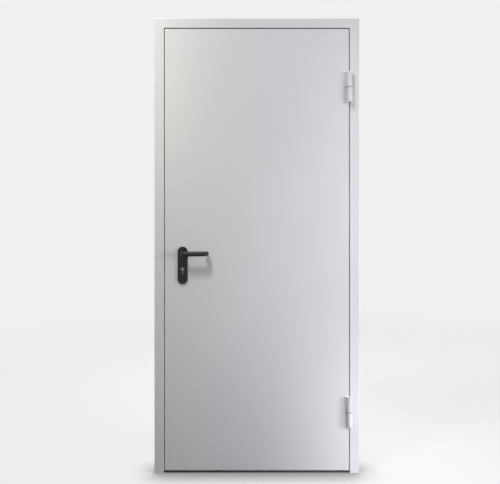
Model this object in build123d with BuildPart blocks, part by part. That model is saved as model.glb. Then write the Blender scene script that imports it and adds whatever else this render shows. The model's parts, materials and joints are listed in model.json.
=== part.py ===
import os

from build123d import *

# Steel fire door: a folded sheet frame on the wall, a rebated leaf on two weld-on hinges,
# and a lever set with a long plate. Millimetres, +Z up. The origin is on the wall, at the
# foot of the outer edge of the hinge-side casing. -X runs across the doorway to the lock
# side, +Y runs into the wall, and the floor is at Z = 0.

# Frame: one folded section, used for both jambs and the head
frame_width = 946
frame_height = 2100
casing_face = 44  # width of the face seen from the front
casing_lip = 12  # how far the face stands off the wall
rebate_depth = 28  # from the face to the stop
stop_width = 20
reveal_depth = 36  # from the stop to the rear edge
rear_flange = 22
frame_sheet = 1.5
frame_bend = 0.5  # inside radius of each fold

# Anchor holes in the reveals of both jambs
anchor_hole_r = 5.5
anchors_from_floor = (200, 700)
anchors_from_top = (750, 200)

# Leaf: a front tray that covers the stop, and a narrower rear tray behind it
leaf_gap = 3.5  # on both sides
head_gap = 5
floor_gap = 12
front_thickness = 24
leaf_thickness = 60
body_inset = 23
leaf_sheet = 1.2
leaf_bend = 1.6  # outside radius of the folded edges

# Hinges: knuckles with a flat tail, on a fixed pin
hinge_from_floor = 284  # to the middle of the lower hinge
hinge_from_top = 318.5  # down to the middle of the upper hinge
hinge_length = 140
hinge_barrel_r = 12
hinge_stand_off = 13  # from the leaf's face to the hinge axis
tail_start = 4
tail_thickness = 5
leaf_tail = 21  # from the hinge axis to the end of the tail on the leaf
frame_tail = 11
hinge_pin_r = 7
hinge_pin_play = 0.05
hinge_cap = 8  # steel left above the pin
bearing_height = 4
bearing_r = 11.2
bearing_play = 0.1
hinge_chamfer = 1

# Security pins in the hinge edge
dog_from_floor = 430
dog_from_top = 460
dog_bolt_r = 6
dog_bolt_reach = 12
dog_bolt_root = 20
dog_bolt_chamfer = 2.5
dog_hole_play = 2.5

# Lock
backset = 60
spindle_height = 1014
cylinder_drop = 72  # from the spindle down to the cylinder
case_height = 165
case_depth = 85
case_thickness = 16
case_drop = 122  # from the spindle down to the foot of the case
faceplate_height = 235
faceplate_width = 24
faceplate_thickness = 3
faceplate_screw_inset = 11
faceplate_screw_r = 2.2
faceplate_screw_head_r = 4
cylinder_screw_r = 2.7
latch_height = 32
latch_thickness = 12
latch_length = 40
latch_flat = 2  # left of the nose behind its bevel
latch_bevel = 11
dead_bolt_drop = 52
dead_bolt_height = 34
dead_bolt_thickness = 14
dead_bolt_length = 45
bolt_play = 0.3
follower_r = 10
follower_play = 0.3
follower_proud = 1
spindle_square = 9
spindle_play = 0.1
spindle_hole_r = 11

# Profile cylinder
cylinder_r = 8.5
cylinder_stem = 10
cylinder_height = 33
cylinder_proud = 1.5
cylinder_play = 0.3
plug_r = 6.7
plug_play = 0.1
plug_depth = 25
plug_proud = 0.6
keyway_height = 8.5
keyway_width = 2.2
keyway_depth = 18

# Lever set
plate_height = 172
plate_width = 46
plate_thickness = 8
plate_edge = 2.5
plate_below_spindle = 140.1
boss_r = 15.5
boss_height = 1.5
bush_r = 12
spigot_r = 8
bush_play = 0.15
plate_screw_inset = 14.4
plate_screw_r = 2.6
plate_screw_head_r = 4.8
lever_r = 11
lever_bend = 19
lever_reach = 122  # from the spindle axis to the outside of the return
lever_stand_off = 58  # from the leaf to the outside of the grip
lever_end_gap = 12
lever_end_round = 4
lever_play = 0.5
spindle_grip = 28

# Strike on the lock jamb
strike_height = 200
strike_width = 20
strike_thickness = 2
strike_corner = 3
strike_slot_margin = 1
strike_opening_margin = 2  # the sheet behind the strike is cut wider than its slots
strike_screw_r = 2.2
strike_screw_head_r = 3.8
strike_screw_inset = 11
strike_box_depth = 20
strike_box_sheet = 1.5
strike_box_bend = 3
strike_box_margin = 8

# Seals
seal_width = 9
seal_wall = 1
seal_rest_gap = 0.4
fire_strip_width = 8
fire_strip_thickness = 2
fire_strip_edge = 3  # from the strip to the rear edge of the frame
drop_groove_width = 15
drop_groove_depth = 31
drop_housing_play = 0.1
drop_housing_sheet = 1.5
drop_housing_inset = 2
drop_lip_width = 9
drop_lip_height = 14
drop_lip_lift = 2  # how far the drawn-up lip stays above the leaf's edge
drop_lip_play = 0.3

# Planes and lines that more than one piece shares
face_y = -casing_lip
stop_y = face_y + rebate_depth
frame_back_y = stop_y + reveal_depth
reveal_inset = casing_face + stop_width
shoulder_y = face_y + front_thickness
leaf_back_y = face_y + leaf_thickness
leaf_left = -frame_width + casing_face + leaf_gap
leaf_right = -casing_face - leaf_gap
leaf_top = frame_height - casing_face - head_gap
body_left = leaf_left + body_inset
body_right = leaf_right - body_inset
body_top = leaf_top - body_inset
lock_y = (shoulder_y + leaf_back_y) / 2
leaf_middle_y = (face_y + leaf_back_y) / 2
spindle_x = body_left + backset
cylinder_z = spindle_height - cylinder_drop
cylinder_foot = cylinder_height - cylinder_r - cylinder_stem / 2
dead_bolt_z = spindle_height - dead_bolt_drop
case_z = spindle_height - case_drop + case_height / 2
case_front_x = body_left + faceplate_thickness
hinge_x = -casing_face - leaf_gap / 2
hinge_y = face_y - hinge_stand_off
plate_z = spindle_height - plate_below_spindle + plate_height / 2
lock_reveal_x = -frame_width + reveal_inset

# The leaf's lock edge, seen from the lock jamb
lock_edge = Plane(origin=(body_left, lock_y, 0), x_dir=(0, -1, 0), z_dir=(-1, 0, 0))

# Each side of the frame has its own drawing plane: the first direction runs from the
# outer edge towards the opening, the second from the room into the wall.
hinge_side = Plane(origin=(0, 0, 0), x_dir=(-1, 0, 0), z_dir=(0, 0, -1))
lock_side = Plane(origin=(-frame_width, 0, 0), x_dir=(1, 0, 0), z_dir=(0, 0, 1))
head_side = Plane(origin=(-frame_width, 0, frame_height), x_dir=(0, 0, -1), z_dir=(1, 0, 0))
hinge_mitre = Plane(origin=(0, 0, frame_height), z_dir=(-1, 0, 1))
lock_mitre = Plane(origin=(-frame_width, 0, frame_height), z_dir=(1, 0, 1))
leaf_mirror = Plane.XZ.offset(-leaf_middle_y)

# Levels that follow the floor or the top of the frame
hinge_heights = {"lower": hinge_from_floor, "upper": frame_height - hinge_from_top}
dog_heights = {"lower": dog_from_floor, "upper": frame_height - dog_from_top}
anchor_heights = anchors_from_floor + tuple(frame_height - drop for drop in anchors_from_top)

os.makedirs("parts", exist_ok=True)


def save(name, part):
    """Label one piece and write it out."""
    part.label = name
    export_step(part, "parts/" + name + ".step")


def facing_front(y):
    """A drawing plane at depth y that faces the room, with X to the right and Z up."""
    return Plane.XZ.offset(-y)


def frame_side(name, section):
    """One side of the frame or its trim: a section run along that side and mitred."""
    with BuildPart() as side:
        if name == "hinge":
            extrude(section(hinge_side), amount=-frame_height)
            split(bisect_by=hinge_mitre, keep=Keep.BOTTOM)
        elif name == "lock":
            extrude(section(lock_side), amount=frame_height)
            split(bisect_by=lock_mitre, keep=Keep.BOTTOM)
        else:
            extrude(section(head_side), amount=frame_width)
            split(bisect_by=hinge_mitre, keep=Keep.TOP)
            split(bisect_by=lock_mitre, keep=Keep.TOP)
    return side.part


# Frame


def casing_section(plane):
    """The folded section: lip, face, rebate, stop, reveal and rear flange."""
    outside = frame_bend + frame_sheet
    with BuildSketch(plane) as section:
        with BuildLine():
            FilletPolyline(
                (0, 0),
                (0, face_y),
                (casing_face, face_y),
                (casing_face, stop_y),
                (reveal_inset, stop_y),
                (reveal_inset, frame_back_y),
                (reveal_inset - rear_flange, frame_back_y),
                radius=[outside, outside, frame_bend, outside, outside],
            )
            offset(amount=frame_sheet, side=Side.LEFT)
        make_face()
    return section.sketch


with BuildPart() as hinge_jamb:
    add(frame_side("hinge", casing_section))
    with BuildSketch(Plane.YZ.offset(-reveal_inset)):
        with Locations(*[(lock_y, z) for z in anchor_heights]):
            Circle(anchor_hole_r)
        with Locations(*[(lock_y, z) for z in dog_heights.values()]):
            Circle(dog_bolt_r + dog_hole_play)
    extrude(amount=frame_sheet, mode=Mode.SUBTRACT)
save("hinge_jamb", hinge_jamb.part)


def strike_slots(margin):
    """The two slots that the latch and the dead bolt enter, drawn in Y and Z."""
    with Locations((lock_y, spindle_height)):
        Rectangle(latch_thickness + 2 * margin, latch_height + 2 * margin)
    with Locations((lock_y, dead_bolt_z)):
        Rectangle(dead_bolt_thickness + 2 * margin, dead_bolt_height + 2 * margin)


with BuildPart() as lock_jamb:
    add(frame_side("lock", casing_section))
    with BuildSketch(Plane.YZ.offset(lock_reveal_x)):
        with Locations(*[(lock_y, z) for z in anchor_heights]):
            Circle(anchor_hole_r)
        strike_slots(strike_opening_margin)
    extrude(amount=-frame_sheet, mode=Mode.SUBTRACT)
save("lock_jamb", lock_jamb.part)

save("head", frame_side("head", casing_section))


# Strike


with BuildPart() as strike_plate:
    with BuildSketch(Plane.YZ.offset(lock_reveal_x)):
        with Locations((lock_y, case_z)):
            RectangleRounded(strike_width, strike_height, strike_corner)
    extrude(amount=strike_thickness)
    with BuildSketch(Plane.YZ.offset(lock_reveal_x)):
        strike_slots(strike_slot_margin)
    extrude(amount=strike_thickness, mode=Mode.SUBTRACT)
    with Locations(Plane.YZ.offset(lock_reveal_x + strike_thickness)):
        with Locations((lock_y, case_z)):
            with GridLocations(0, strike_height - 2 * strike_screw_inset, 1, 2):
                CounterSinkHole(strike_screw_r, strike_screw_head_r)
save("strike_plate", strike_plate.part)

slot_top = spindle_height + latch_height / 2 + strike_opening_margin
slot_foot = dead_bolt_z - dead_bolt_height / 2 - strike_opening_margin
with BuildPart() as strike_box:
    with BuildSketch(Plane.YZ.offset(lock_reveal_x - frame_sheet)):
        with Locations((lock_y, (slot_top + slot_foot) / 2)):
            Rectangle(
                dead_bolt_thickness + 2 * (strike_opening_margin + strike_box_sheet),
                slot_top - slot_foot + 2 * strike_box_margin,
            )
    extrude(amount=-strike_box_depth)
    fillet(strike_box.faces().sort_by(Axis.X)[0].edges(), strike_box_bend)
    offset(amount=-strike_box_sheet, openings=strike_box.faces().sort_by(Axis.X)[-1])
save("strike_box", strike_box.part)


# Seals and fire strips


def seal_section(plane):
    """A hollow rubber bulb with a flat foot on the stop."""
    middle = casing_face + stop_width / 2
    foot_start = (middle - seal_width / 2, stop_y)
    foot_end = (middle + seal_width / 2, stop_y)
    with BuildSketch(plane) as section:
        with BuildLine():
            ThreePointArc(foot_start, (middle, shoulder_y + seal_rest_gap), foot_end)
            Line(foot_end, foot_start)
        make_face()
        offset(amount=-seal_wall, mode=Mode.SUBTRACT)
    return section.sketch


def fire_strip_section(plane):
    """A strip that swells in a fire, stuck to the reveal behind the strike."""
    middle_y = frame_back_y - fire_strip_edge - fire_strip_width / 2
    with BuildSketch(plane) as section:
        with Locations((reveal_inset + fire_strip_thickness / 2, middle_y)):
            Rectangle(fire_strip_thickness, fire_strip_width)
    return section.sketch


for side in ("hinge", "lock", "head"):
    ending = "head" if side == "head" else side + "_side"
    save("seal_" + ending, frame_side(side, seal_section))
    save("fire_strip_" + ending, frame_side(side, fire_strip_section))


# Leaf


def leaf_outline(left, right, foot, top):
    """A rectangle between two X and two Z lines."""
    with Locations((left, foot)):
        Rectangle(right - left, top - foot, align=Align.MIN)


def profile_cylinder(grow):
    """The outline of a profile cylinder: a round head over a narrow stem."""
    with Locations((spindle_x, cylinder_z)):
        Circle(cylinder_r + grow)
        Rectangle(cylinder_stem + 2 * grow, cylinder_foot, align=(Align.CENTER, Align.MAX))
    with Locations((spindle_x, cylinder_z - cylinder_foot)):
        Circle(cylinder_stem / 2 + grow)


def lock_openings():
    """The spindle hole and the cylinder hole that go through the leaf."""
    with Locations((spindle_x, spindle_height)):
        Circle(spindle_hole_r)
    profile_cylinder(cylinder_play)


with BuildPart() as leaf_front_skin:
    with BuildSketch(facing_front(face_y)):
        leaf_outline(leaf_left, leaf_right, floor_gap, leaf_top)
    extrude(amount=-front_thickness)
    fillet(leaf_front_skin.faces().sort_by(Axis.Y)[0].edges(), leaf_bend)
    offset(amount=-leaf_sheet, openings=leaf_front_skin.faces().sort_by(Axis.Y)[-1])
    with BuildSketch(facing_front(shoulder_y - leaf_sheet)):
        leaf_outline(leaf_left + leaf_sheet, leaf_right - leaf_sheet, floor_gap, leaf_top - leaf_sheet)
    extrude(amount=-leaf_sheet)
    with BuildSketch(facing_front(shoulder_y - leaf_sheet)):
        leaf_outline(body_left, body_right, floor_gap, body_top)
    extrude(amount=-leaf_sheet, mode=Mode.SUBTRACT)
    with BuildSketch(facing_front(face_y)):
        lock_openings()
    extrude(amount=-front_thickness, mode=Mode.SUBTRACT)
save("leaf_front_skin", leaf_front_skin.part)


def drop_groove():
    """The groove along the foot of the leaf, drawn in Y and Z."""
    with Locations((lock_y, floor_gap)):
        Rectangle(drop_groove_width, drop_groove_depth, align=(Align.CENTER, Align.MIN))


def faceplate_outline():
    """The lock's faceplate, drawn in Y and Z."""
    with Locations((lock_y, case_z)):
        SlotOverall(faceplate_height, faceplate_width, rotation=90)


def dog_bolt_holes():
    """The seats of the security pins, drawn in Y and Z."""
    with Locations(*[(lock_y, z) for z in dog_heights.values()]):
        Circle(dog_bolt_r)


rear_tray_depth = leaf_back_y - shoulder_y + leaf_sheet
with BuildPart() as leaf_rear_skin:
    with BuildSketch(facing_front(shoulder_y - leaf_sheet)):
        leaf_outline(body_left, body_right, floor_gap, body_top)
    extrude(amount=-rear_tray_depth)
    fillet(leaf_rear_skin.faces().sort_by(Axis.Y)[-1].edges(), leaf_bend)
    offset(amount=-leaf_sheet, openings=leaf_rear_skin.faces().sort_by(Axis.Y)[0])
    with BuildSketch(facing_front(leaf_back_y)):
        lock_openings()
    extrude(amount=leaf_sheet, mode=Mode.SUBTRACT)
    with BuildSketch(Plane.YZ.offset(body_left)):
        faceplate_outline()
    extrude(amount=leaf_sheet, mode=Mode.SUBTRACT)
    with BuildSketch(Plane.YZ.offset(body_right)):
        dog_bolt_holes()
    extrude(amount=-leaf_sheet, mode=Mode.SUBTRACT)
    with BuildSketch(Plane.YZ.offset(body_left)):
        drop_groove()
    extrude(amount=body_right - body_left, mode=Mode.SUBTRACT)
save("leaf_rear_skin", leaf_rear_skin.part)

core_foot = floor_gap + leaf_sheet
core_bend = leaf_bend - leaf_sheet
core_seam_y = shoulder_y - leaf_sheet
with BuildPart() as front_core_board:
    with BuildSketch(facing_front(face_y + leaf_sheet)):
        leaf_outline(leaf_left + leaf_sheet, leaf_right - leaf_sheet, core_foot, leaf_top - leaf_sheet)
    extrude(amount=-(front_thickness - 2 * leaf_sheet))
    fillet(front_core_board.faces().sort_by(Axis.Y)[0].edges(), core_bend)
    with BuildSketch(facing_front(face_y)):
        lock_openings()
    extrude(amount=-front_thickness, mode=Mode.SUBTRACT)
save("front_core_board", front_core_board.part)

with BuildPart() as leaf_core:
    with BuildSketch(facing_front(core_seam_y)):
        leaf_outline(body_left + leaf_sheet, body_right - leaf_sheet, core_foot, body_top - leaf_sheet)
    extrude(amount=-(leaf_back_y - shoulder_y))
    fillet(leaf_core.faces().sort_by(Axis.Y)[-1].edges(), core_bend)
    with BuildSketch(facing_front(core_seam_y)):
        lock_openings()
    extrude(amount=-leaf_thickness, mode=Mode.SUBTRACT)
    with BuildSketch(Plane.YZ.offset(body_left)):
        faceplate_outline()
    extrude(amount=faceplate_thickness, mode=Mode.SUBTRACT)
    with BuildSketch(Plane.YZ.offset(case_front_x)):
        with Locations((lock_y, case_z)):
            Rectangle(case_thickness, case_height)
    extrude(amount=case_depth, mode=Mode.SUBTRACT)
    with BuildSketch(Plane.YZ.offset(body_right)):
        dog_bolt_holes()
    extrude(amount=-dog_bolt_root, mode=Mode.SUBTRACT)
    with BuildSketch(Plane.YZ.offset(body_left)):
        drop_groove()
    extrude(amount=body_right - body_left, mode=Mode.SUBTRACT)
save("leaf_core", leaf_core.part)


# Drop seal in the foot of the leaf, drawn up


with BuildPart() as drop_seal_housing:
    with BuildSketch(Plane.YZ.offset(body_left + drop_housing_inset)):
        with Locations((lock_y, floor_gap + drop_groove_depth)):
            Rectangle(
                drop_groove_width - 2 * drop_housing_play,
                drop_groove_depth,
                align=(Align.CENTER, Align.MAX),
            )
    extrude(amount=body_right - body_left - 2 * drop_housing_inset)
    offset(
        amount=-drop_housing_sheet,
        openings=[
            drop_seal_housing.faces().sort_by(Axis.Z)[0],
            drop_seal_housing.faces().sort_by(Axis.X)[0],
            drop_seal_housing.faces().sort_by(Axis.X)[-1],
        ],
    )
save("drop_seal_housing", drop_seal_housing.part)

drop_lip_clear = drop_groove_width - 2 * (drop_housing_play + drop_housing_sheet + drop_lip_play)
with BuildPart() as drop_seal_lip:
    with BuildSketch(Plane.YZ.offset(body_left + drop_housing_inset)):
        with Locations((lock_y, floor_gap + drop_lip_lift + drop_lip_width / 2)):
            Circle(drop_lip_width / 2)
            Rectangle(drop_lip_clear, drop_lip_height, align=(Align.CENTER, Align.MIN))
    extrude(amount=body_right - body_left - 2 * drop_housing_inset)
save("drop_seal_lip", drop_seal_lip.part)


# Lock


with BuildPart() as lock_faceplate:
    with BuildSketch(Plane.YZ.offset(body_left)):
        faceplate_outline()
    extrude(amount=faceplate_thickness)
    with BuildSketch(Plane.YZ.offset(body_left)):
        with Locations((lock_y, spindle_height)):
            Rectangle(latch_thickness + 2 * bolt_play, latch_height + 2 * bolt_play)
        with Locations((lock_y, dead_bolt_z)):
            Rectangle(dead_bolt_thickness + 2 * bolt_play, dead_bolt_height + 2 * bolt_play)
        with Locations((lock_y, cylinder_z - cylinder_foot)):
            Circle(cylinder_screw_r)
    extrude(amount=faceplate_thickness, mode=Mode.SUBTRACT)
    with Locations(lock_edge):
        with Locations((0, case_z)):
            with GridLocations(0, faceplate_height - 2 * faceplate_screw_inset, 1, 2):
                CounterSinkHole(faceplate_screw_r, faceplate_screw_head_r)
save("lock_faceplate", lock_faceplate.part)

with BuildPart() as lock_case:
    with BuildSketch(Plane.YZ.offset(case_front_x)):
        with Locations((lock_y, case_z)):
            Rectangle(case_thickness, case_height)
    extrude(amount=case_depth)
    with BuildSketch(facing_front(face_y)):
        with Locations((spindle_x, spindle_height)):
            Circle(follower_r + follower_play)
        profile_cylinder(cylinder_play)
    extrude(amount=-leaf_thickness, mode=Mode.SUBTRACT)
    with BuildSketch(Plane.YZ.offset(case_front_x)):
        with Locations((lock_y, spindle_height)):
            Rectangle(latch_thickness + 2 * bolt_play, latch_height + 2 * bolt_play)
    extrude(amount=latch_length - faceplate_thickness + bolt_play, mode=Mode.SUBTRACT)
    with BuildSketch(Plane.YZ.offset(case_front_x)):
        with Locations((lock_y, dead_bolt_z)):
            Rectangle(dead_bolt_thickness + 2 * bolt_play, dead_bolt_height + 2 * bolt_play)
    extrude(amount=dead_bolt_length - faceplate_thickness + bolt_play, mode=Mode.SUBTRACT)
save("lock_case", lock_case.part)

with BuildPart() as latch_bolt:
    with BuildSketch(Plane.YZ.offset(body_left)):
        with Locations((lock_y, spindle_height)):
            Rectangle(latch_thickness, latch_height)
    extrude(amount=latch_length)
    latch_nose = latch_bolt.faces().sort_by(Axis.X)[0].edges().sort_by(Axis.Y)[-1]
    chamfer(latch_nose, length=latch_thickness - latch_flat, length2=latch_bevel)
save("latch_bolt", latch_bolt.part)

with BuildPart() as dead_bolt:
    with BuildSketch(Plane.YZ.offset(body_left)):
        with Locations((lock_y, dead_bolt_z)):
            Rectangle(dead_bolt_thickness, dead_bolt_height)
    extrude(amount=dead_bolt_length)
    chamfer(dead_bolt.faces().sort_by(Axis.X)[0].edges(), length=bolt_play)
save("dead_bolt", dead_bolt.part)

with BuildPart() as lock_follower:
    with BuildSketch(facing_front(lock_y - case_thickness / 2 - follower_proud)):
        with Locations((spindle_x, spindle_height)):
            Circle(follower_r)
            Rectangle(
                spindle_square + 2 * spindle_play, spindle_square + 2 * spindle_play, mode=Mode.SUBTRACT
            )
    extrude(amount=-(case_thickness + 2 * follower_proud))
save("lock_follower", lock_follower.part)


# Profile cylinder and its two plugs


cylinder_front_y = face_y - plate_thickness - cylinder_proud
cylinder_length = leaf_thickness + 2 * (plate_thickness + cylinder_proud)
with BuildPart() as lock_cylinder:
    with BuildSketch(facing_front(cylinder_front_y)):
        profile_cylinder(0)
    extrude(amount=-cylinder_length)
    with BuildSketch(facing_front(cylinder_front_y)):
        with Locations((spindle_x, cylinder_z)):
            Circle(plug_r + plug_play)
    extrude(amount=-plug_depth, mode=Mode.SUBTRACT)
    with BuildSketch(facing_front(cylinder_front_y + cylinder_length)):
        with Locations((spindle_x, cylinder_z)):
            Circle(plug_r + plug_play)
    extrude(amount=plug_depth, mode=Mode.SUBTRACT)
save("lock_cylinder", lock_cylinder.part)

with BuildPart() as cylinder_plug_front:
    with BuildSketch(facing_front(cylinder_front_y - plug_proud)):
        with Locations((spindle_x, cylinder_z)):
            Circle(plug_r)
    extrude(amount=-(plug_depth + plug_proud))
    chamfer(cylinder_plug_front.edges().group_by(Axis.Y)[0], length=plug_proud / 2)
    with BuildSketch(facing_front(cylinder_front_y - plug_proud)):
        with Locations((spindle_x, cylinder_z)):
            Rectangle(keyway_width, keyway_height)
    extrude(amount=-keyway_depth, mode=Mode.SUBTRACT)
save("cylinder_plug_front", cylinder_plug_front.part)

with BuildPart() as cylinder_plug_rear:
    mirror(cylinder_plug_front.part, about=leaf_mirror)
save("cylinder_plug_rear", cylinder_plug_rear.part)


# Plates, bushes, levers and spindle


plate_face_y = face_y - plate_thickness
boss_face_y = plate_face_y - boss_height
screw_spacing = plate_height - 2 * plate_screw_inset
with BuildPart() as front_backplate:
    with BuildSketch(facing_front(face_y)):
        with Locations((spindle_x, plate_z)):
            SlotOverall(plate_height, plate_width, rotation=90)
    extrude(amount=plate_thickness)
    fillet(front_backplate.faces().sort_by(Axis.Y)[0].edges(), plate_edge)
    with BuildSketch(facing_front(plate_face_y)):
        with Locations((spindle_x, spindle_height)):
            Circle(boss_r)
    extrude(amount=boss_height)
    chamfer(front_backplate.faces().sort_by(Axis.Y)[0].edges(), boss_height / 2)
    with BuildSketch(facing_front(boss_face_y)):
        with Locations((spindle_x, spindle_height)):
            Circle(bush_r)
        profile_cylinder(cylinder_play)
    extrude(amount=-(plate_thickness + boss_height), mode=Mode.SUBTRACT)
    with Locations(facing_front(plate_face_y)):
        with Locations((spindle_x, plate_z)):
            with GridLocations(0, screw_spacing, 1, 2):
                CounterSinkHole(plate_screw_r, plate_screw_head_r)
save("front_backplate", front_backplate.part)

with BuildPart() as rear_backplate:
    mirror(front_backplate.part, about=leaf_mirror)
save("rear_backplate", rear_backplate.part)

with BuildPart() as front_handle_bush:
    with BuildSketch(facing_front(boss_face_y)):
        with Locations((spindle_x, spindle_height)):
            Circle(bush_r)
            Circle(spigot_r + bush_play, mode=Mode.SUBTRACT)
    extrude(amount=-(plate_thickness + boss_height))
save("front_handle_bush", front_handle_bush.part)

with BuildPart() as rear_handle_bush:
    mirror(front_handle_bush.part, about=leaf_mirror)
save("rear_handle_bush", rear_handle_bush.part)

neck_y = boss_face_y - lever_play
grip_y = face_y - lever_stand_off + lever_r
return_x = spindle_x + lever_reach - lever_r
with BuildPart() as front_lever:
    with BuildLine(Plane.XY.offset(spindle_height)) as lever_run:
        FilletPolyline(
            (spindle_x, neck_y),
            (spindle_x, grip_y),
            (return_x, grip_y),
            (return_x, face_y - lever_end_gap),
            radius=lever_bend,
        )
    with BuildSketch(facing_front(neck_y)):
        with Locations((spindle_x, spindle_height)):
            Circle(lever_r)
    sweep(path=lever_run.line)
    return_end = front_lever.faces().filter_by(Axis.Y).sort_by(Axis.X)[-1]
    fillet(return_end.edges(), lever_end_round)
    with BuildSketch(facing_front(neck_y)):
        with Locations((spindle_x, spindle_height)):
            Circle(spigot_r)
    extrude(amount=-(face_y - neck_y))
    with BuildSketch(facing_front(face_y)):
        with Locations((spindle_x, spindle_height)):
            Rectangle(spindle_square + 2 * spindle_play, spindle_square + 2 * spindle_play)
    extrude(amount=spindle_grip, mode=Mode.SUBTRACT)
save("front_lever", front_lever.part)

with BuildPart() as rear_lever:
    mirror(front_lever.part, about=leaf_mirror)
save("rear_lever", rear_lever.part)

with BuildPart() as spindle:
    with BuildSketch(facing_front(face_y - spindle_grip)):
        with Locations((spindle_x, spindle_height)):
            Rectangle(spindle_square, spindle_square)
    extrude(amount=-(leaf_thickness + 2 * spindle_grip))
save("spindle", spindle.part)


# Hinges


def barrel():
    """The round of the hinge, drawn in X and Y."""
    with Locations((hinge_x, hinge_y)):
        Circle(hinge_barrel_r)


def tail(end):
    """The flat tail that is welded to the sheet behind it, drawn in X and Y."""
    middle = (tail_start + abs(end)) / 2
    with Locations((hinge_x + (middle if end > 0 else -middle), face_y)):
        Rectangle(abs(end) - tail_start, tail_thickness, align=(Align.CENTER, Align.MAX))


for level, middle in hinge_heights.items():
    hinge_foot = middle - hinge_length / 2
    hinge_top = middle + hinge_length / 2
    bearing_foot = middle - bearing_height / 2
    bearing_top = middle + bearing_height / 2
    pin_top = hinge_top - hinge_cap

    with BuildPart() as frame_knuckle:
        with BuildSketch(Plane.XY.offset(hinge_foot)):
            barrel()
        extrude(amount=bearing_foot - hinge_foot)
        chamfer(frame_knuckle.edges().group_by(Axis.Z)[0], hinge_chamfer)
        with BuildSketch(Plane.XY.offset(hinge_foot + hinge_chamfer)):
            tail(frame_tail)
        extrude(amount=bearing_foot - hinge_foot - hinge_chamfer)
        with BuildSketch(Plane.XY.offset(hinge_foot)):
            with Locations((hinge_x, hinge_y)):
                Circle(hinge_pin_r)
        extrude(amount=bearing_foot - hinge_foot, mode=Mode.SUBTRACT)
    save(level + "_hinge_frame_knuckle", frame_knuckle.part)

    with BuildPart() as leaf_knuckle:
        with BuildSketch(Plane.XY.offset(bearing_top)):
            barrel()
        extrude(amount=hinge_top - bearing_top)
        chamfer(leaf_knuckle.edges().group_by(Axis.Z)[-1], hinge_chamfer)
        with BuildSketch(Plane.XY.offset(bearing_top)):
            tail(-leaf_tail)
        extrude(amount=hinge_top - hinge_chamfer - bearing_top)
        with BuildSketch(Plane.XY.offset(bearing_top)):
            with Locations((hinge_x, hinge_y)):
                Circle(hinge_pin_r + hinge_pin_play)
        extrude(amount=pin_top + bearing_play - bearing_top, mode=Mode.SUBTRACT)
    save(level + "_hinge_leaf_knuckle", leaf_knuckle.part)

    with BuildPart() as hinge_pin:
        with BuildSketch(Plane.XY.offset(hinge_foot)):
            with Locations((hinge_x, hinge_y)):
                Circle(hinge_pin_r)
        extrude(amount=pin_top - hinge_foot)
        chamfer(hinge_pin.edges().group_by(Axis.Z)[-1], hinge_chamfer)
    save(level + "_hinge_pin", hinge_pin.part)

    with BuildPart() as bearing:
        with BuildSketch(Plane.XY.offset(bearing_foot)):
            with Locations((hinge_x, hinge_y)):
                Circle(bearing_r)
                Circle(hinge_pin_r, mode=Mode.SUBTRACT)
        extrude(amount=bearing_height - bearing_play)
    save(level + "_hinge_bearing", bearing.part)


# Security pins


for level, height in dog_heights.items():
    with BuildPart() as dog_bolt:
        with BuildSketch(Plane.YZ.offset(body_right - dog_bolt_root)):
            with Locations((lock_y, height)):
                Circle(dog_bolt_r)
        extrude(amount=dog_bolt_root + dog_bolt_reach)
        chamfer(dog_bolt.edges().group_by(Axis.X)[-1], dog_bolt_chamfer)
    save(level + "_dog_bolt", dog_bolt.part)
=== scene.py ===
# %% [markdown]
# # A steel fire door
#
# The door stands in its own frame of folded sheet. The leaf is two painted steel trays with
# mineral wool between them, and a black lever set with a long plate works the lock. The
# shapes come from the imported model, and this lesson dresses them: paint, plastic, rubber and
# bare metal as node materials, and the screws and weld beads as Geometry Nodes.
#
# The first step loads the frame and keeps its box, which the last step prints.

import json
import math

import bmesh
import bpy
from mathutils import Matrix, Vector


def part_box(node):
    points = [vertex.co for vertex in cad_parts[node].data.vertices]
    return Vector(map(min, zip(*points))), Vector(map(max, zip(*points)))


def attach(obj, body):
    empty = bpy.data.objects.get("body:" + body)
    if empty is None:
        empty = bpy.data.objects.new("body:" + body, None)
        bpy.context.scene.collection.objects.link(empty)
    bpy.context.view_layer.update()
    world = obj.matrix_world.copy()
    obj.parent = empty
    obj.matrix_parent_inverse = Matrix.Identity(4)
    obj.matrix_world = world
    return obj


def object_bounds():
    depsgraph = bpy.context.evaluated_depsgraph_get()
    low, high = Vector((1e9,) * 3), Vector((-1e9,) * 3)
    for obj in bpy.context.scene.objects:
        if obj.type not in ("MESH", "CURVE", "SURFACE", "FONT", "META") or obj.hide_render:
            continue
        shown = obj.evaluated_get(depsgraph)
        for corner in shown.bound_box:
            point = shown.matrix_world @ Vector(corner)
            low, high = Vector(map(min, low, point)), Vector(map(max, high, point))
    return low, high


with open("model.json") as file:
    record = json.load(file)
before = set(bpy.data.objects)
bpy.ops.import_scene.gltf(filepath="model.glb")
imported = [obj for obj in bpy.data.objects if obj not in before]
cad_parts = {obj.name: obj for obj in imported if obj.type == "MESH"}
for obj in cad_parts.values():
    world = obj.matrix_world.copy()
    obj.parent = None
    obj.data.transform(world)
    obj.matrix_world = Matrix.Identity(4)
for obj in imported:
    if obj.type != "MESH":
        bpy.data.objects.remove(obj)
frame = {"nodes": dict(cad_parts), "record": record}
cad_box = [list(corner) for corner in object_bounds()]
width = cad_box[1][0] - cad_box[0][0]
height = cad_box[1][2] - cad_box[0][2]
print(f"the door is {width:.3f} m wide and {height:.3f} m high")

# %% [markdown]
# ## The camera
#
# The picture shows the door square on, with all its upright lines parallel. A camera gives
# that only when it is level and looks straight at the door. Its height hardly matters then,
# so it stands a little above the middle of the door, and a small lens shift puts the door
# where it stands in the picture. The focal length follows from the distance and from how
# many millimetres of the door there are to a pixel of the picture.

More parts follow.
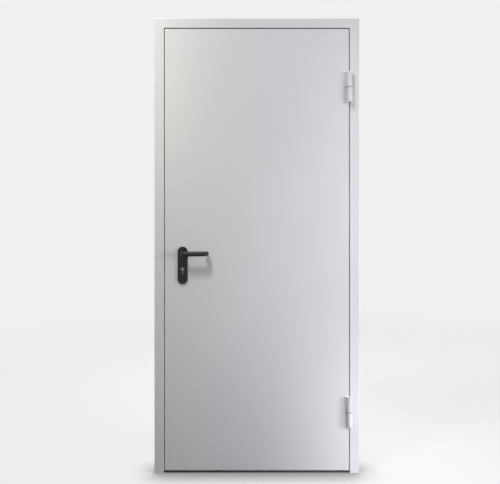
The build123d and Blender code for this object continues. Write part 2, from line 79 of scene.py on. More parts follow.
# %% Camera
picture_width = 500  # pixels
millimetres_a_pixel = 4.619
casing_front = -0.012  # the face of the casing, in metres as all places are
door_middle = -0.473
camera_distance = 3.2  # from the face of the casing
camera_height = 1.1825
sensor = 36.0  # millimetres

view = bpy.data.cameras.new("front_view")
view.sensor_width = sensor
view.lens = sensor * camera_distance / (picture_width * millimetres_a_pixel / 1000)
view.shift_x = -0.0137
view.shift_y = -0.05
camera = bpy.data.objects.new("front_view", view)
camera.location = (door_middle, casing_front - camera_distance, camera_height)
camera.rotation_euler = (math.radians(90), 0, 0)
bpy.context.scene.collection.objects.link(camera)
bpy.context.scene.camera = camera
bpy.context.scene.view_settings.view_transform = "Standard"
print(f"the lens is {view.lens:.1f} mm")

# %% [markdown]
# ## The light
#
# Painted steel needs large, soft lamps: a small one would leave one hot dot. The main lamp
# hangs high on the left. It brightens the upper left of the leaf and throws the shadow of
# the lever down and to the right. Panels on the right brighten that side down to the floor
# and light the barrels of the hinges, and a weak warm panel on the left lights the edge of
# the casing. A large lamp stands behind, so that the back can be looked at too.
#
# The panels carry grids. A grid is a set of deep cells in front of a lamp that narrows its
# fan of light, and an area lamp in Blender has it as its spread. A gridded panel lights one
# part of the door and fades out softly over the rest, which gives the slow change of
# brightness across the leaf. All lamps are kept low enough for the paint to come out about
# as pale as it is written.


# %% A soft lamp
def soft_lamp(name, place, target, size, watts, tint, fan=180):
    """A soft rectangular lamp that faces the target. A grid on it narrows the fan of light."""
    lamp = bpy.data.lights.new(name, "AREA")
    lamp.shape = "RECTANGLE"
    lamp.size, lamp.size_y = size
    lamp.energy = watts
    lamp.color = tint
    lamp.spread = math.radians(fan)
    stand = bpy.data.objects.new(name, lamp)
    stand.location = place
    aim = Vector(target) - Vector(place)
    stand.rotation_euler = aim.to_track_quat("-Z", "Y").to_euler()
    stand.visible_camera = False
    bpy.context.scene.collection.objects.link(stand)


# %% Lamps in their places
WARM, COOL, NEUTRAL = (1.0, 0.995, 0.7), (0.95, 0.965, 1.0), (1.0, 1.0, 1.0)

# Place, target, width and height, watts, tint, and the fan in degrees if there is a grid
LAMPS = {
    "high_left_lamp": ((-1.53, -1.7, 4.02), (0.3, 0, 2.2), (0.6, 0.6), 77, NEUTRAL),
    "right_panel": ((1.64, -1.2, 1.69), (0.59, 0, 1.26), (1.4, 1.7), 5.2, COOL, 36),
    "low_right_panel": ((3.53, -1.84, 1.27), (0.83, 0, 0.71), (0.7, 1.2), 9.2, COOL, 41),
    "low_front_panel": ((1.14, -2.77, 1.1), (0.28, 0, -0.09), (0.8, 1.0), 2.2, COOL, 17),
    "left_panel": ((-1.1, -0.79, 2.35), (-1.19, 0, 1.58), (0.5, 0.9), 1.4, WARM, 73),
    "back_lamp": ((0.4, 3.2, 2.6), (-0.5, 0, 1.0), (1.4, 1.4), 60, NEUTRAL),
}
for name, lamp in LAMPS.items():
    soft_lamp(name, *lamp)
print(f"{len(LAMPS)} lamps stand round the door")

# %% [markdown]
# ## Trees of nodes
#
# The world, the floor, the finishes and the small shapes are all trees of nodes. Each could
# be clicked together by hand, but a tree that is written down can be read, compared and
# made again. `put` adds one node and fills its sockets, so that one line of the script is
# one node of the tree, and a few helpers stand on it.


# %% Helpers for trees
def put(tree, kind, sockets=None, **settings):
    """Adds a node to a tree, sets it up and fills its sockets with values or with links."""
    made = tree.nodes.new(kind)
    for name, value in settings.items():
        setattr(made, name, value)
    for key, value in (sockets or {}).items():
        if isinstance(value, bpy.types.NodeSocket):
            tree.links.new(value, made.inputs[key])
        else:
            made.inputs[key].default_value = value
    return made


def arithmetic(tree, operation, first, second):
    """One step of arithmetic on two values."""
    return put(tree, "ShaderNodeMath", {0: first, 1: second}, operation=operation).outputs[0]


def times(tree, value, by):
    """A value scaled by another."""
    return arithmetic(tree, "MULTIPLY", value, by)


def plus(tree, value, other):
    """The sum of two values."""
    return arithmetic(tree, "ADD", value, other)


def new_finish(name):
    """An empty material and its tree, with the place on the door in metres."""
    finish = bpy.data.materials.new(name)
    finish.use_nodes = True
    tree = finish.node_tree
    tree.nodes.clear()
    here = put(tree, "ShaderNodeTexCoord").outputs["Object"]
    return finish, tree, here


def grey(level):
    """A plain grey as a colour with alpha."""
    return (level, level, level, 1)


# %% [markdown]
# ## Background
#
# What the camera sees beyond the floor is the world. A bright world would also flood the
# door with light from all sides and wash its shadows out, so the world has two levels: one
# that the camera and the reflections see, which is the pale background, and a lower one
# that lights the door. Light Path tells the two kinds of ray apart.

# %% World
background = 0.871
world_light = 0.27


def seen_rays(tree):
    """1 for what the camera sees, straight or in a mirror or through glass, else 0."""
    ray = put(tree, "ShaderNodeLightPath").outputs
    seen = ray["Is Camera Ray"]
    for kind in ("Is Glossy Ray", "Is Transmission Ray"):
        seen = arithmetic(tree, "MAXIMUM", seen, ray[kind])
    return seen


def set_world():
    """The pale background for the camera and reflections, and a lower level as light."""
    world = bpy.data.worlds.new("studio")
    world.use_nodes = True
    tree = world.node_tree
    tree.nodes.clear()
    lit = put(tree, "ShaderNodeBackground", {"Color": grey(world_light)})
    shown = put(tree, "ShaderNodeBackground", {"Color": grey(background)})
    both = put(
        tree,
        "ShaderNodeMixShader",
        {0: seen_rays(tree), 1: lit.outputs[0], 2: shown.outputs[0]},
    )
    put(tree, "ShaderNodeOutputWorld", {"Surface": both.outputs[0]})
    bpy.context.scene.world = world


set_world()
print(f"the background shows as {background} and lights the door as {world_light}")

# %% [markdown]
# ## Floor
#
# The floor is a pale disc that fades out towards its edge, so there is no horizon. It has
# two parts, as the world has. A lift that only the camera and the reflections see brings it
# up to the background, and the rest is lit by the lamps, so it keeps the shadow of the
# door. Close under the door the lift is dimmed by Ambient Occlusion, a node that measures
# how much of the room a spot can see. That paints a shade into the glow of the floor: the
# dark line where steel stands on the floor.

# %% Floor
floor_radius = 6.0
fade_start, fade_end = 0.3, 0.95  # as shares of the radius
floor_grey = 0.19  # what the lamps light
floor_lift = 0.702  # what the camera sees over the floor's own light
contact_reach = 0.17  # how far from the steel the lift starts to be dimmed
contact_power = 2.2  # how steeply it is dimmed from there


def floor_finish():
    """A pale floor that fades out far away, with a painted shade where the door stands on it.
    """
    finish, tree, here = new_finish("floor")
    away = put(tree, "ShaderNodeVectorMath", {0: here}, operation="LENGTH").outputs["Value"]
    fade = put(
        tree,
        "ShaderNodeMapRange",
        {
            "Value": away,
            "From Min": floor_radius * fade_start,
            "From Max": floor_radius * fade_end,
        },
        interpolation_type="SMOOTHSTEP",
    )
    matt = put(tree, "ShaderNodeBsdfDiffuse", {"Color": grey(floor_grey)})
    # The lift is dimmed near the steel: a painted shade under the door.
    openness = put(
        tree, "ShaderNodeAmbientOcclusion", {"Distance": contact_reach}, samples=8
    ).outputs["AO"]
    lift_left_by_painted_shade = arithmetic(tree, "POWER", openness, contact_power)
    lift = put(
        tree,
        "ShaderNodeEmission",
        {"Color": grey(floor_lift), "Strength": times(tree, lift_left_by_painted_shade, seen_rays(tree))},
    )
    shown = put(tree, "ShaderNodeAddShader", {0: matt.outputs[0], 1: lift.outputs[0]})
    clear = put(tree, "ShaderNodeBsdfTransparent")
    both = put(
        tree,
        "ShaderNodeMixShader",
        {0: fade.outputs[0], 1: shown.outputs[0], 2: clear.outputs[0]},
    )
    put(tree, "ShaderNodeOutputMaterial", {"Surface": both.outputs[0]})
    return finish


# %% [markdown]
# ### The disc
#
# A disc is the simplest floor that has no corners to show where it ends.


# %% Lay the floor
def lay_floor():
    """The disc, centred under the door."""
    mesh = bpy.data.meshes.new("floor")
    shape = bmesh.new()
    bmesh.ops.create_circle(shape, cap_ends=True, radius=floor_radius, segments=96)
    bmesh.ops.translate(shape, verts=shape.verts, vec=(door_middle, 0, 0))
    shape.to_mesh(mesh)
    shape.free()
    mesh.materials.append(floor_finish())
    floor = bpy.data.objects.new("floor", mesh)
    bpy.context.scene.collection.objects.link(floor)


lay_floor()
print(f"the floor reaches {floor_radius} m from the middle of the door")

# %% [markdown]
# ## How a finish is made
#
# Each finish is a small tree of nodes. All of them read Object coordinates in metres, so a
# number such as 0.002 is a real two millimetres on the door and the pattern stays put when
# the leaf swings. Three helpers cover most of the work: `noise` gives a wandering value
# between two limits, `edges` finds the sharp edges, for wear and for painted highlights, by
# comparing the true surface with a slightly rounded one, and `mix` blends two colours.

# %% Helpers for patterns
NOISE_LOW, NOISE_HIGH = 0.3, 0.7  # raw noise seldom leaves this range
FLAT = 0.995  # how well the rounded surface agrees with the true one on a flat face


def stretch(tree, here, scale):
    """The same place with each axis scaled, for a pattern that runs one way."""
    return put(tree, "ShaderNodeMapping", {"Vector": here, "Scale": scale}).outputs[0]


def spread(tree, value, low, high, start=0.0, end=1.0):
    """A value that runs from start to end, spread out between low and high."""
    return put(
        tree,
        "ShaderNodeMapRange",
        {"Value": value, "From Min": start, "From Max": end, "To Min": low, "To Max": high},
    ).outputs[0]


def noise(tree, here, scale, low=0.0, high=1.0, detail=3.0, rough=0.55):
    """A wandering value between low and high."""
    wander = put(
        tree,
        "ShaderNodeTexNoise",
        {"Vector": here, "Scale": scale, "Detail": detail, "Roughness": rough},
    )
    return spread(tree, wander.outputs[0], low, high, NOISE_LOW, NOISE_HIGH)


def edges(tree, radius, sharp):
    """1 on edges tighter than the radius, 0 on flat faces."""
    rounded = put(tree, "ShaderNodeBevel", {"Radius": radius}, samples=4).outputs[0]
    true = put(tree, "ShaderNodeNewGeometry").outputs["Normal"]
    same = put(
        tree, "ShaderNodeVectorMath", {0: rounded, 1: true}, operation="DOT_PRODUCT"
    ).outputs["Value"]
    return spread(tree, same, 1.0, 0.0, sharp, FLAT)


def weigh(tree, main, other, share):
    """Two patterns in one, in which the other has the given share."""
    return plus(tree, times(tree, main, 1 - share), times(tree, other, share))


# %% [markdown]
# ### From patterns to a shader
#
# A finish ends in one shader. Its colour, its roughness and its relief come from patterns.
# What is the same all over is a number on the shader itself, because other programs that
# read the model look for it there.

# %% Helpers for the shader
# A Mix node has sockets for each kind of data. These are the ones for colours.
MIX_DARK, MIX_LIGHT, MIX_RESULT = 6, 7, 2


def mix(tree, factor, dark, light):
    """A blend of two colours."""
    sockets = {0: factor, MIX_DARK: dark, MIX_LIGHT: light}
    return put(tree, "ShaderNodeMix", sockets, data_type="RGBA").outputs[MIX_RESULT]


def relief(tree, height, depth):
    """A bump of that depth in metres."""
    return put(tree, "ShaderNodeBump", {"Height": height, "Distance": depth}).outputs[0]


def surface(tree, sockets):
    """The shader at the end of a finish."""
    shader = put(tree, "ShaderNodeBsdfPrincipled", sockets)
    put(tree, "ShaderNodeOutputMaterial", {"Surface": shader.outputs[0]})


finishes = {}

# %% [markdown]
# ## Powder coat
#
# The frame, the leaf and the hinges are sprayed with dry powder and baked. The powder melts
# into a semi-matt skin with a very fine orange peel. Where the sheet is folded the edges come
# out a touch lighter: partly the paint thins there, and partly it is a painted highlight where
# the folds catch the light. The grey itself hardly varies. A faint cloud over half a metre and
# a fine grain keep it from looking printed. One plain grey would do from afar, but close by
# it would look like a toy.


# %% Light grey powder coat
def powder_coat():
    """Pale grey paint with an orange peel of two sizes, lighter on the folds from thinner paint
    and a painted highlight.
    """
    finish, tree, here = new_finish("light_grey_powder_coat")
    cloud = noise(tree, here, 1.7, detail=2.0)
    grain = noise(tree, here, 900.0, detail=1.0)
    pattern = weigh(tree, cloud, grain, 0.4)
    grey_skin = mix(tree, pattern, (0.608, 0.607, 0.632, 1), (0.651, 0.650, 0.674, 1))
    # The folds are made paler: partly thinner paint, partly a painted highlight where they
    # catch the light.
    thin_paint_and_sheen = edges(tree, 0.0025, sharp=0.85)
    skin = mix(tree, times(tree, thin_paint_and_sheen, 0.45), grey_skin, (0.80, 0.80, 0.82, 1))
    coarse = noise(tree, here, 420.0, detail=2.0)
    fine = noise(tree, here, 1500.0, detail=1.0)
    peel = plus(tree, coarse, times(tree, fine, 0.35))
    surface(
        tree,
        {
            "Base Color": skin,
            "Roughness": noise(tree, here, 14.0, 0.44, 0.52),
            "Specular IOR Level": 0.38,
            "Normal": relief(tree, peel, 0.00006),
        },
    )
    return finish


finishes["light_grey_powder_coat"] = powder_coat()
print("the powder coat is mixed")

# %% [markdown]
# ## Black plastic
#
# The lever set is moulded in black plastic over a steel core. The mould was spark eroded,
# which leaves a matt, sandy skin. Hands polish it, so the edges shine more than the flats.
# The sand is too fine to model, so it is a bump in the material.


# %% Black plastic
def black_plastic():
    """Black moulded plastic, a little paler and shinier on its worn edges."""
    finish, tree, here = new_finish("black_plastic")
    worn = edges(tree, 0.0015, sharp=0.8)
    cloud = noise(tree, here, 40.0, 0.0, 0.35)
    wear = plus(tree, times(tree, worn, 0.5), cloud)
    satin = noise(tree, here, 60.0, 0.34, 0.46)
    sand = noise(tree, here, 1400.0, detail=2.0)
    surface(
        tree,
        {
            "Base Color": mix(tree, wear, (0.006, 0.006, 0.0065, 1), (0.02, 0.02, 0.022, 1)),
            "Roughness": plus(tree, satin, times(tree, worn, -0.12)),
            "Specular IOR Level": 0.3,
            "Normal": relief(tree, sand, 0.00005),
        },
    )
    return finish


finishes["black_plastic"] = black_plastic()
print("the black plastic is mixed")

# %% [markdown]
# ## Bare metals
#
# Each metal keeps the marks of how it was made. The faceplate and the strike are brushed
# along their length, and the housing of the floor seal is drawn aluminium, with lines along
# the draw. The profile cylinder is nickel plated, coloured far darker on its body than on its
# plugs, the bearings are dark ground steel, and the bolts and pins are zinc plated, which
# leaves a cloudy film that is yellow in one place and blue in another. So two recipes are
# enough: lines that run one way, and a film with fine pits.

# %% Metals
BRUSH_DEPTH = PIT_DEPTH = 0.00002  # metres
BARE_EDGE = (0.82, 0.82, 0.82, 1)


def brushed(name, scale, dark, light, shine):
    """A metal with fine lines along the axis that has the smallest scale."""
    finish, tree, here = new_finish(name)
    lines = noise(tree, stretch(tree, here, scale), 1.0, detail=4.0, rough=0.65)
    cloud = noise(tree, here, 30.0)
    pattern = weigh(tree, lines, cloud, 0.3)
    surface(
        tree,
        {
            "Base Color": mix(tree, pattern, dark, light),
            "Metallic": 1.0,
            "Roughness": spread(tree, pattern, *shine),
            "Normal": relief(tree, lines, BRUSH_DEPTH),
        },
    )
    return finish


def plated(name, scale, dark, light, shine):
    """A plated metal with a cloudy film, fine pits and bare edges."""
    finish, tree, here = new_finish(name)
    film = noise(tree, here, scale, detail=4.0)
    pits = noise(tree, here, 1800.0, detail=1.0)
    worn = edges(tree, 0.001, sharp=0.8)
    skin = mix(tree, film, dark, light)
    surface(
        tree,
        {
            "Base Color": mix(tree, times(tree, worn, 0.4), skin, BARE_EDGE),
            "Metallic": 1.0,
            "Roughness": spread(tree, film, *shine),
            "Normal": relief(tree, pits, PIT_DEPTH),
        },
    )
    return finish


# %% [markdown]
# ### The metals of this door
#
# Each line is a recipe, the scale of its marks, the darkest and the lightest colour, and the
# lowest and the highest roughness.

# %% Metals by name
METALS = {
    "brushed_stainless": (
        brushed, (2500, 2500, 25), (0.46, 0.46, 0.45, 1), (0.62, 0.62, 0.61, 1), (0.24, 0.42),
    ),
    "mill_aluminium": (
        brushed, (18, 1700, 1700), (0.66, 0.67, 0.69, 1), (0.80, 0.81, 0.82, 1), (0.32, 0.48),
    ),
    "nickel_plate": (
        plated, 160.0, (0.15, 0.146, 0.138, 1), (0.23, 0.222, 0.208, 1), (0.26, 0.38),
    ),
    # The body of the cylinder is coloured far darker than its plugs.
    "dull_nickel": (
        plated, 120.0, (0.045, 0.045, 0.048, 1), (0.085, 0.082, 0.08, 1), (0.34, 0.50),
    ),
    "zinc_plated_steel": (
        plated, 90.0, (0.50, 0.52, 0.58, 1), (0.64, 0.63, 0.57, 1), (0.32, 0.50),
    ),
    "bearing_steel": (
        plated, 200.0, (0.10, 0.10, 0.105, 1), (0.18, 0.175, 0.17, 1), (0.30, 0.45),
    ),
}
for name, (recipe, *marks) in METALS.items():
    finishes[name] = recipe(name, *marks)
print(f"{len(METALS)} metals are mixed")

# %% [markdown]
# ## Rubber, graphite and wool
#
# The seal in the rebate is an extruded rubber bulb with a fine grain and a bloom that dulls
# it in patches. The fire strip is pressed graphite, which swells when it is hot: a dark
# grey felt with small flakes. The core of the leaf is mineral wool, whose strands are
# pressed flat and run across the leaf.


# %% Soft finishes
def rubber():
    """Black rubber with a patchy bloom."""
    finish, tree, here = new_finish("black_rubber")
    bloom = noise(tree, here, 25.0, detail=4.0)
    fine = noise(tree, here, 700.0)
    surface(
        tree,
        {
            "Base Color": mix(tree, bloom, (0.010, 0.010, 0.010, 1), (0.026, 0.026, 0.027, 1)),
            "Roughness": noise(tree, here, 25.0, 0.55, 0.75),
            "Normal": relief(tree, fine, 0.00005),
        },
    )
    return finish


def graphite():
    """Dark grey felt with flakes."""
    finish, tree, here = new_finish("graphite_strip")
    flakes = put(tree, "ShaderNodeTexVoronoi", {"Vector": here, "Scale": 900.0})
    felt = noise(tree, here, 300.0, detail=4.0)
    pattern = weigh(tree, felt, flakes.outputs["Color"], 0.3)
    surface(
        tree,
        {
            "Base Color": mix(tree, pattern, (0.022, 0.022, 0.024, 1), (0.075, 0.075, 0.08, 1)),
            "Roughness": noise(tree, here, 200.0, 0.45, 0.65),
            "Normal": relief(tree, felt, 0.00012),
        },
    )
    return finish


def wool():
    """Mineral wool with strands that run across the leaf."""
    finish, tree, here = new_finish("mineral_wool")
    along = stretch(tree, here, (60, 900, 600))
    strands = noise(tree, along, 1.0, detail=6.0, rough=0.7)
    surface(
        tree,
        {
            "Base Color": mix(tree, strands, (0.20, 0.17, 0.09, 1), (0.46, 0.42, 0.28, 1)),
            "Roughness": noise(tree, here, 300.0, 0.8, 0.95),
            "Normal": relief(tree, strands, 0.0006),
        },
    )
    return finish


finishes["black_rubber"] = rubber()
finishes["graphite_strip"] = graphite()
finishes["mineral_wool"] = wool()
print(f"{len(finishes)} finishes are ready")

# %% [markdown]
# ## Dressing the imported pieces
#
# The record says which finish each piece has, so the dressing needs no list of its own. The
# shapes are kept as they are and only the material slot changes.

# %% Put each finish on its pieces
for entry in frame["record"]["subparts"]:
    piece = frame["nodes"][entry["node"]]
    piece.data.materials.clear()
    piece.data.materials.append(finishes[entry["material_slot"]])
print(f"{len(frame['nodes'])} pieces have their finish")

# %% [markdown]
# ## Small shapes as Geometry Nodes
#
# What repeats by a rule is the work of Geometry Nodes. Such a tree has named inputs for its
# sizes, so one tree serves many places. It works on light copies and turns them into real
# geometry with a material at its end.

# %% Helpers for Geometry Nodes
# A Random Value node has sockets for each kind of data. These are the ones for numbers.
RANDOM_LOW, RANDOM_HIGH, RANDOM_RESULT = 2, 3, 1


def new_tree(name, inputs):
    """A tree with named inputs, and the sockets that bring their values into it."""
    tree = bpy.data.node_groups.new(name, "GeometryNodeTree")
    for label, (kind, value) in inputs.items():
        made = tree.interface.new_socket(label, in_out="INPUT", socket_type=kind)
        if value is not None:
            made.default_value = value
    tree.interface.new_socket("Geometry", in_out="OUTPUT", socket_type="NodeSocketGeometry")
    return tree, put(tree, "NodeGroupInput").outputs


def end_tree(tree, shape, finish):
    """The end of a tree: real geometry in its finish."""
    real = put(tree, "GeometryNodeRealizeInstances", {0: shape})
    done = put(
        tree, "GeometryNodeSetMaterial", {"Geometry": real.outputs[0], "Material": finish}
    )
    put(tree, "NodeGroupOutput", {0: done.outputs[0]})


def chance(tree, low, high, seed):
    """A random value for each point, which comes out the same each time."""
    sockets = {RANDOM_LOW: low, RANDOM_HIGH: high, "Seed": seed}
    made = put(tree, "FunctionNodeRandomValue", sockets, data_type="FLOAT")
    return made.outputs[RANDOM_RESULT]


def turn_about_z(tree, angle):
    """A turn about the upright axis by an angle in radians."""
    angles = put(tree, "ShaderNodeCombineXYZ", {2: angle})
    return put(tree, "FunctionNodeEulerToRotation", {0: angles.outputs[0]}).outputs[0]


def copies(tree, points, shape, turn):
    """The shape on every point, with its turn there."""
    return put(
        tree,
        "GeometryNodeInstanceOnPoints",
        {"Points": points, "Instance": shape, "Rotation": turn},
    ).outputs[0]


# %% [markdown]
# ### Running a tree
#
# A tree runs as a modifier on an object. The modifier knows its inputs by their identifiers,
# so each name is looked up first. The result is kept as a plain mesh, which any other
# program can read, and the modifier goes.


# %% Run a tree
def run_tree(name, tree, values):
    """Runs a tree with its named inputs and returns the result as a plain object."""
    host = bpy.data.objects.new(name, bpy.data.meshes.new(name))
    bpy.context.scene.collection.objects.link(host)
    work = host.modifiers.new("work", "NODES")
    work.node_group = tree
    for socket in tree.interface.items_tree:
        if socket.in_out == "INPUT" and socket.name in values:
            work[socket.identifier] = values[socket.name]
    graph = bpy.context.evaluated_depsgraph_get()
    mesh = bpy.data.meshes.new_from_object(host.evaluated_get(graph))
    host.modifiers.remove(work)
    host.data = mesh
    mesh.name = name
    print(f"{name}: {len(mesh.polygons)} faces")
    return host


# %% [markdown]
# ## Screws
#
# Small countersunk screws hold the plates, the faceplate and the strike. A head is a short
# cone with slots cut into it: two make a cross and three make a star. The cutter is a set
# of thin blocks, turned evenly round the axis.

# %% The head of a screw
SCREW_SIDES = 28
TIP, SLOT_LENGTH, SLOT_WIDTH = 0.55, 1.15, 0.3  # as shares of the head's radius


def slotted_head(tree, radius, depth, slots):
    """A cone with slots through its wide face, which is at the origin and looks to -Z."""
    cone = put(
        tree,
        "GeometryNodeMeshCone",
        {
            "Vertices": SCREW_SIDES,
            "Radius Top": times(tree, radius, TIP),
            "Radius Bottom": radius,
            "Depth": depth,
        },
    )
    size = put(
        tree,
        "ShaderNodeCombineXYZ",
        {0: times(tree, radius, SLOT_LENGTH), 1: times(tree, radius, SLOT_WIDTH), 2: depth},
    )
    block = put(tree, "GeometryNodeMeshCube", {"Size": size.outputs[0]})
    spots = put(
        tree, "GeometryNodeMeshLine", {"Count": slots, "Offset": (0, 0, 0)}, mode="OFFSET"
    )
    number = put(tree, "GeometryNodeInputIndex").outputs[0]
    angle = arithmetic(tree, "DIVIDE", times(tree, number, math.pi), slots)
    blocks = copies(tree, spots.outputs[0], block.outputs[0], turn_about_z(tree, angle))
    cutter = put(tree, "GeometryNodeRealizeInstances", {0: blocks})
    # The blocks cross each other, and the cut comes out empty if the node isn't told so
    return put(
        tree,
        "GeometryNodeMeshBoolean",
        {0: cone.outputs[0], 1: cutter.outputs[0], "Self Intersection": True},
        operation="DIFFERENCE",
        solver="EXACT",
    ).outputs[0]


# %% [markdown]
# ### A row of heads
#
# The head could be copied by hand, but a tree puts it on a row of points, and the size of
# the head, the row and the way it faces are inputs. So one tree makes every screw on the
# door. Each head has its own turn, because no one lines the slots up with a screwdriver.

# %% The screw tree
FURTHEST_TURN = 2.0  # radians


def screw_tree():
    """A row of countersunk heads, each turned by chance."""
    tree, given = new_tree(
        "screw_row",
        {
            "Start": ("NodeSocketVector", (0, 0, 0)),
            "Step": ("NodeSocketVector", (0, 0, 0.1)),
            "Count": ("NodeSocketInt", 2),
            "Turn": ("NodeSocketRotation", None),
            "Head radius": ("NodeSocketFloat", 0.0045),
            "Head depth": ("NodeSocketFloat", 0.0025),
            "Slots": ("NodeSocketInt", 2),
            "Finish": ("NodeSocketMaterial", None),
        },
    )
    head = slotted_head(tree, given["Head radius"], given["Head depth"], given["Slots"])
    row = put(
        tree,
        "GeometryNodeMeshLine",
        {"Count": given["Count"], "Start Location": given["Start"], "Offset": given["Step"]},
        mode="OFFSET",
    )
    own_turn = turn_about_z(tree, chance(tree, 0.0, FURTHEST_TURN, seed=7))
    facing = put(tree, "FunctionNodeRotateRotation", {0: own_turn, 1: given["Turn"]})
    heads = copies(tree, row.outputs[0], head, facing.outputs[0])
    end_tree(tree, heads, given["Finish"])
    return tree


screws = screw_tree()
print(f"the screw tree has {len(screws.nodes)} nodes")

# %% [markdown]
# ### Where the screws go
#
# The tree makes a head whose wide face looks to -Z. A quarter turn about X brings it to
# face the room, the opposite turn to face the other side, and a quarter turn about Y to
# face the lock side or the hinge side. The places come from the boxes of the pieces that
# the screws hold, and each head is let in by a hair, as a driven screw is.

# %% A row of screws
TO_FRONT = (math.radians(-90), 0, 0)
TO_BACK = (math.radians(90), 0, 0)
TO_LOCK_SIDE = (0, math.radians(90), 0)
TO_HINGE_SIDE = (0, math.radians(-90), 0)
DOWN = (0, 0, 0)
let_in = 0.0002

# Head radius, head depth and number of slots
PLATE_HEAD = (0.0046, 0.0026, 2)
FACEPLATE_HEAD = (0.0038, 0.0022, 2)
CYLINDER_HEAD = (0.0026, 0.002, 2)
STRIKE_HEAD = (0.0036, 0.002, 2)
GRUB_HEAD = (0.0024, 0.002, 3)


def middle(low, high):
    """The value halfway between two others."""
    return (low + high) / 2


def screw_row(name, body, slot, start, end, turn, head):
    """One screw at the start, and one at the end where that is another place."""
    radius, depth, slots = head
    made = run_tree(
        name,
        screws,
        {
            "Start": start,
            "Step": tuple(b - a for a, b in zip(start, end)),
            "Count": 1 if start == end else 2,
            "Turn": turn,
            "Head radius": radius,
            "Head depth": depth,
            "Slots": slots,
            "Finish": finishes[slot],
        },
    )
    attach(made, body)


def upright_row(name, body, slot, x, y, heights, turn, head):
    """A row whose screws stand over each other."""
    start, end = ((x, y, z) for z in heights)
    screw_row(name, body, slot, start, end, turn, head)


# %% [markdown]
# ### Screws of the lever plates
#
# Each lever plate has a screw near each of its round ends, as black as the plate.

# %% Plate screws
plate_thickness = 0.008
plate_screw_inset = 0.0144  # from the round ends
leaf_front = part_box("leaf_front_skin")[0].y
leaf_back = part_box("leaf_rear_skin")[1].y


def screws_in_plate(name, plate, turn, face, inward):
    """The two screws of a lever plate, near its round ends."""
    low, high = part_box(plate)
    heights = (low.z + plate_screw_inset, high.z - plate_screw_inset)
    x, y = middle(low.x, high.x), face + inward * let_in
    upright_row(name, "leaf", "black_plastic", x, y, heights, turn, PLATE_HEAD)


front_face, back_face = leaf_front - plate_thickness, leaf_back + plate_thickness
screws_in_plate("front_plate_screws", "front_backplate", TO_FRONT, front_face, 1)
screws_in_plate("rear_plate_screws", "rear_backplate", TO_BACK, back_face, -1)

# %% [markdown]
# ### Screws of the lock
#
# The faceplate of the lock, in the edge of the leaf, has a screw near each end, and a third
# one at the foot of the cylinder holds that in. The strike plate stands opposite, on the
# frame, so its screws face the other way and stay behind when the leaf swings.

# %% Lock and strike screws
strip_screw_inset = 0.011  # from the ends of the faceplate and the strike
cylinder_screw_height = 0.005  # over the foot of the cylinder

low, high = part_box("lock_faceplate")
heights = (low.z + strip_screw_inset, high.z - strip_screw_inset)
x, y = low.x + let_in, middle(low.y, high.y)
upright_row(
    "faceplate_screws", "leaf", "zinc_plated_steel", x, y, heights, TO_LOCK_SIDE, FACEPLATE_HEAD
)
low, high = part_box("lock_cylinder")
heights = (low.z + cylinder_screw_height, low.z + cylinder_screw_height)
upright_row(
    "cylinder_screw", "leaf", "zinc_plated_steel", x, y, heights, TO_LOCK_SIDE, CYLINDER_HEAD
)
low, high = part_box("strike_plate")
heights = (low.z + strip_screw_inset, high.z - strip_screw_inset)
x, y = high.x - let_in, middle(low.y, high.y)
upright_row(
    "strike_screws", "frame", "zinc_plated_steel", x, y, heights, TO_HINGE_SIDE, STRIKE_HEAD
)

# %% [markdown]
# ### The grub screws of the levers
#
# A small grub screw under the neck of each lever clamps it to the square spindle. It is the
# same tree with three slots, facing down. Its head stands out by a hair, so that it isn't
# lost in the neck.

# %% Grub screws
grub_reach = 0.019  # from the face of the leaf

low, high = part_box("spindle")
x = middle(low.x, high.x)
across = middle(leaf_front, leaf_back)
neck = across - leaf_front + grub_reach
under_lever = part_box("front_lever")[0].z - let_in
screw_row(
    "lever_grub_screws",
    "levers",
    "zinc_plated_steel",
    (x, across - neck, under_lever),
    (x, across + neck, under_lever),
    DOWN,
    GRUB_HEAD,
)

# %% [markdown]
# ## Weld beads
#
# The tail of each hinge knuckle is welded to the sheet along its edges before the door is
# painted. A bead is a row of frozen ripples, about one a millimetre. A curve with a round
# bevel would give a smooth worm, so here a tree cuts a line into short steps, swells its
# radius at every other step, and adds a little noise for the hand of the welder.

# %% The weld bead tree
BEAD_SIDES = 12
STEPS_A_RIPPLE = 2
TROUGH, CREST = 0.88, 1.06  # as shares of the bead's radius
UNSTEADY = (0.93, 1.07)  # how much the hand of the welder adds to that


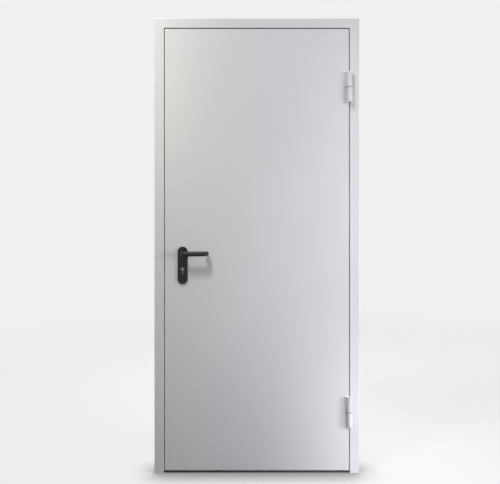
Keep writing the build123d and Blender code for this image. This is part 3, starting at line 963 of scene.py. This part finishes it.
def bead_tree():
    """A rippled bead from a start to a corner and on to an end."""
    tree, given = new_tree(
        "weld_bead",
        {
            "Start": ("NodeSocketVector", (0, 0, 0)),
            "Corner": ("NodeSocketVector", (0, 0, 0.05)),
            "End": ("NodeSocketVector", (0.01, 0, 0.05)),
            "Bead radius": ("NodeSocketFloat", 0.0018),
            "Ripple": ("NodeSocketFloat", 0.0011),
            "Finish": ("NodeSocketMaterial", None),
        },
    )
    lines = put(tree, "GeometryNodeJoinGeometry")
    for first, last in (("Start", "Corner"), ("Corner", "End")):
        line = put(
            tree, "GeometryNodeCurvePrimitiveLine", {"Start": given[first], "End": given[last]}
        )
        tree.links.new(line.outputs[0], lines.inputs[0])
    steps = put(
        tree,
        "GeometryNodeResampleCurve",
        {"Curve": lines.outputs[0], "Length": times(tree, given["Ripple"], 1 / STEPS_A_RIPPLE)},
        mode="LENGTH",
    )
    number = put(tree, "GeometryNodeInputIndex").outputs[0]
    ripple = arithmetic(tree, "MODULO", number, float(STEPS_A_RIPPLE))
    swell = spread(tree, ripple, TROUGH, CREST)
    ring = put(
        tree,
        "GeometryNodeCurvePrimitiveCircle",
        {"Resolution": BEAD_SIDES, "Radius": given["Bead radius"]},
    )
    bead = put(
        tree,
        "GeometryNodeCurveToMesh",
        {
            "Curve": steps.outputs[0],
            "Profile Curve": ring.outputs[0],
            "Scale": times(tree, swell, chance(tree, *UNSTEADY, seed=11)),
            "Fill Caps": True,
        },
    )
    smooth = put(tree, "GeometryNodeSetShadeSmooth", {"Geometry": bead.outputs[0]})
    end_tree(tree, smooth.outputs[0], given["Finish"])
    return tree


beads = bead_tree()
print(f"the bead tree has {len(beads.nodes)} nodes")

# %% [markdown]
# ### Where the beads go
#
# The bead runs along the outer edge of the tail and turns in along its free end. On the leaf
# the free end is the top, on the frame it is the foot.

# %% Weld beads in their places
weld_inset = 0.001  # from the free end, and on the frame from the outer edge too
weld_start_gap = 0.0015  # from the end where the barrels meet
leaf_turn_in, frame_turn_in = 0.008, 0.005


def weld(name, knuckle, body):
    """A bead along the outer edge of a knuckle's tail and round its free end."""
    low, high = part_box(knuckle)
    sheet = high.y
    if body == "leaf":
        start, end = low.z + weld_start_gap, high.z - weld_inset
        edge = low.x
        inner = edge + leaf_turn_in
    else:
        start, end = high.z - weld_start_gap, low.z + weld_inset
        edge = high.x - weld_inset
        inner = edge - frame_turn_in
    made = run_tree(
        name,
        beads,
        {
            "Start": (edge, sheet, start),
            "Corner": (edge, sheet, end),
            "End": (inner, sheet, end),
            "Finish": finishes["light_grey_powder_coat"],
        },
    )
    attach(made, body)


for level in ("lower", "upper"):
    weld(f"{level}_leaf_weld", f"{level}_hinge_leaf_knuckle", "leaf")
    weld(f"{level}_frame_weld", f"{level}_hinge_frame_knuckle", "frame")

# %% [markdown]
# ## The size, and the end
#
# The dressed door must not be larger than the imported one. The box of the imported door is
# printed.

# %% Sizes and finish
print("packed box", cad_box)
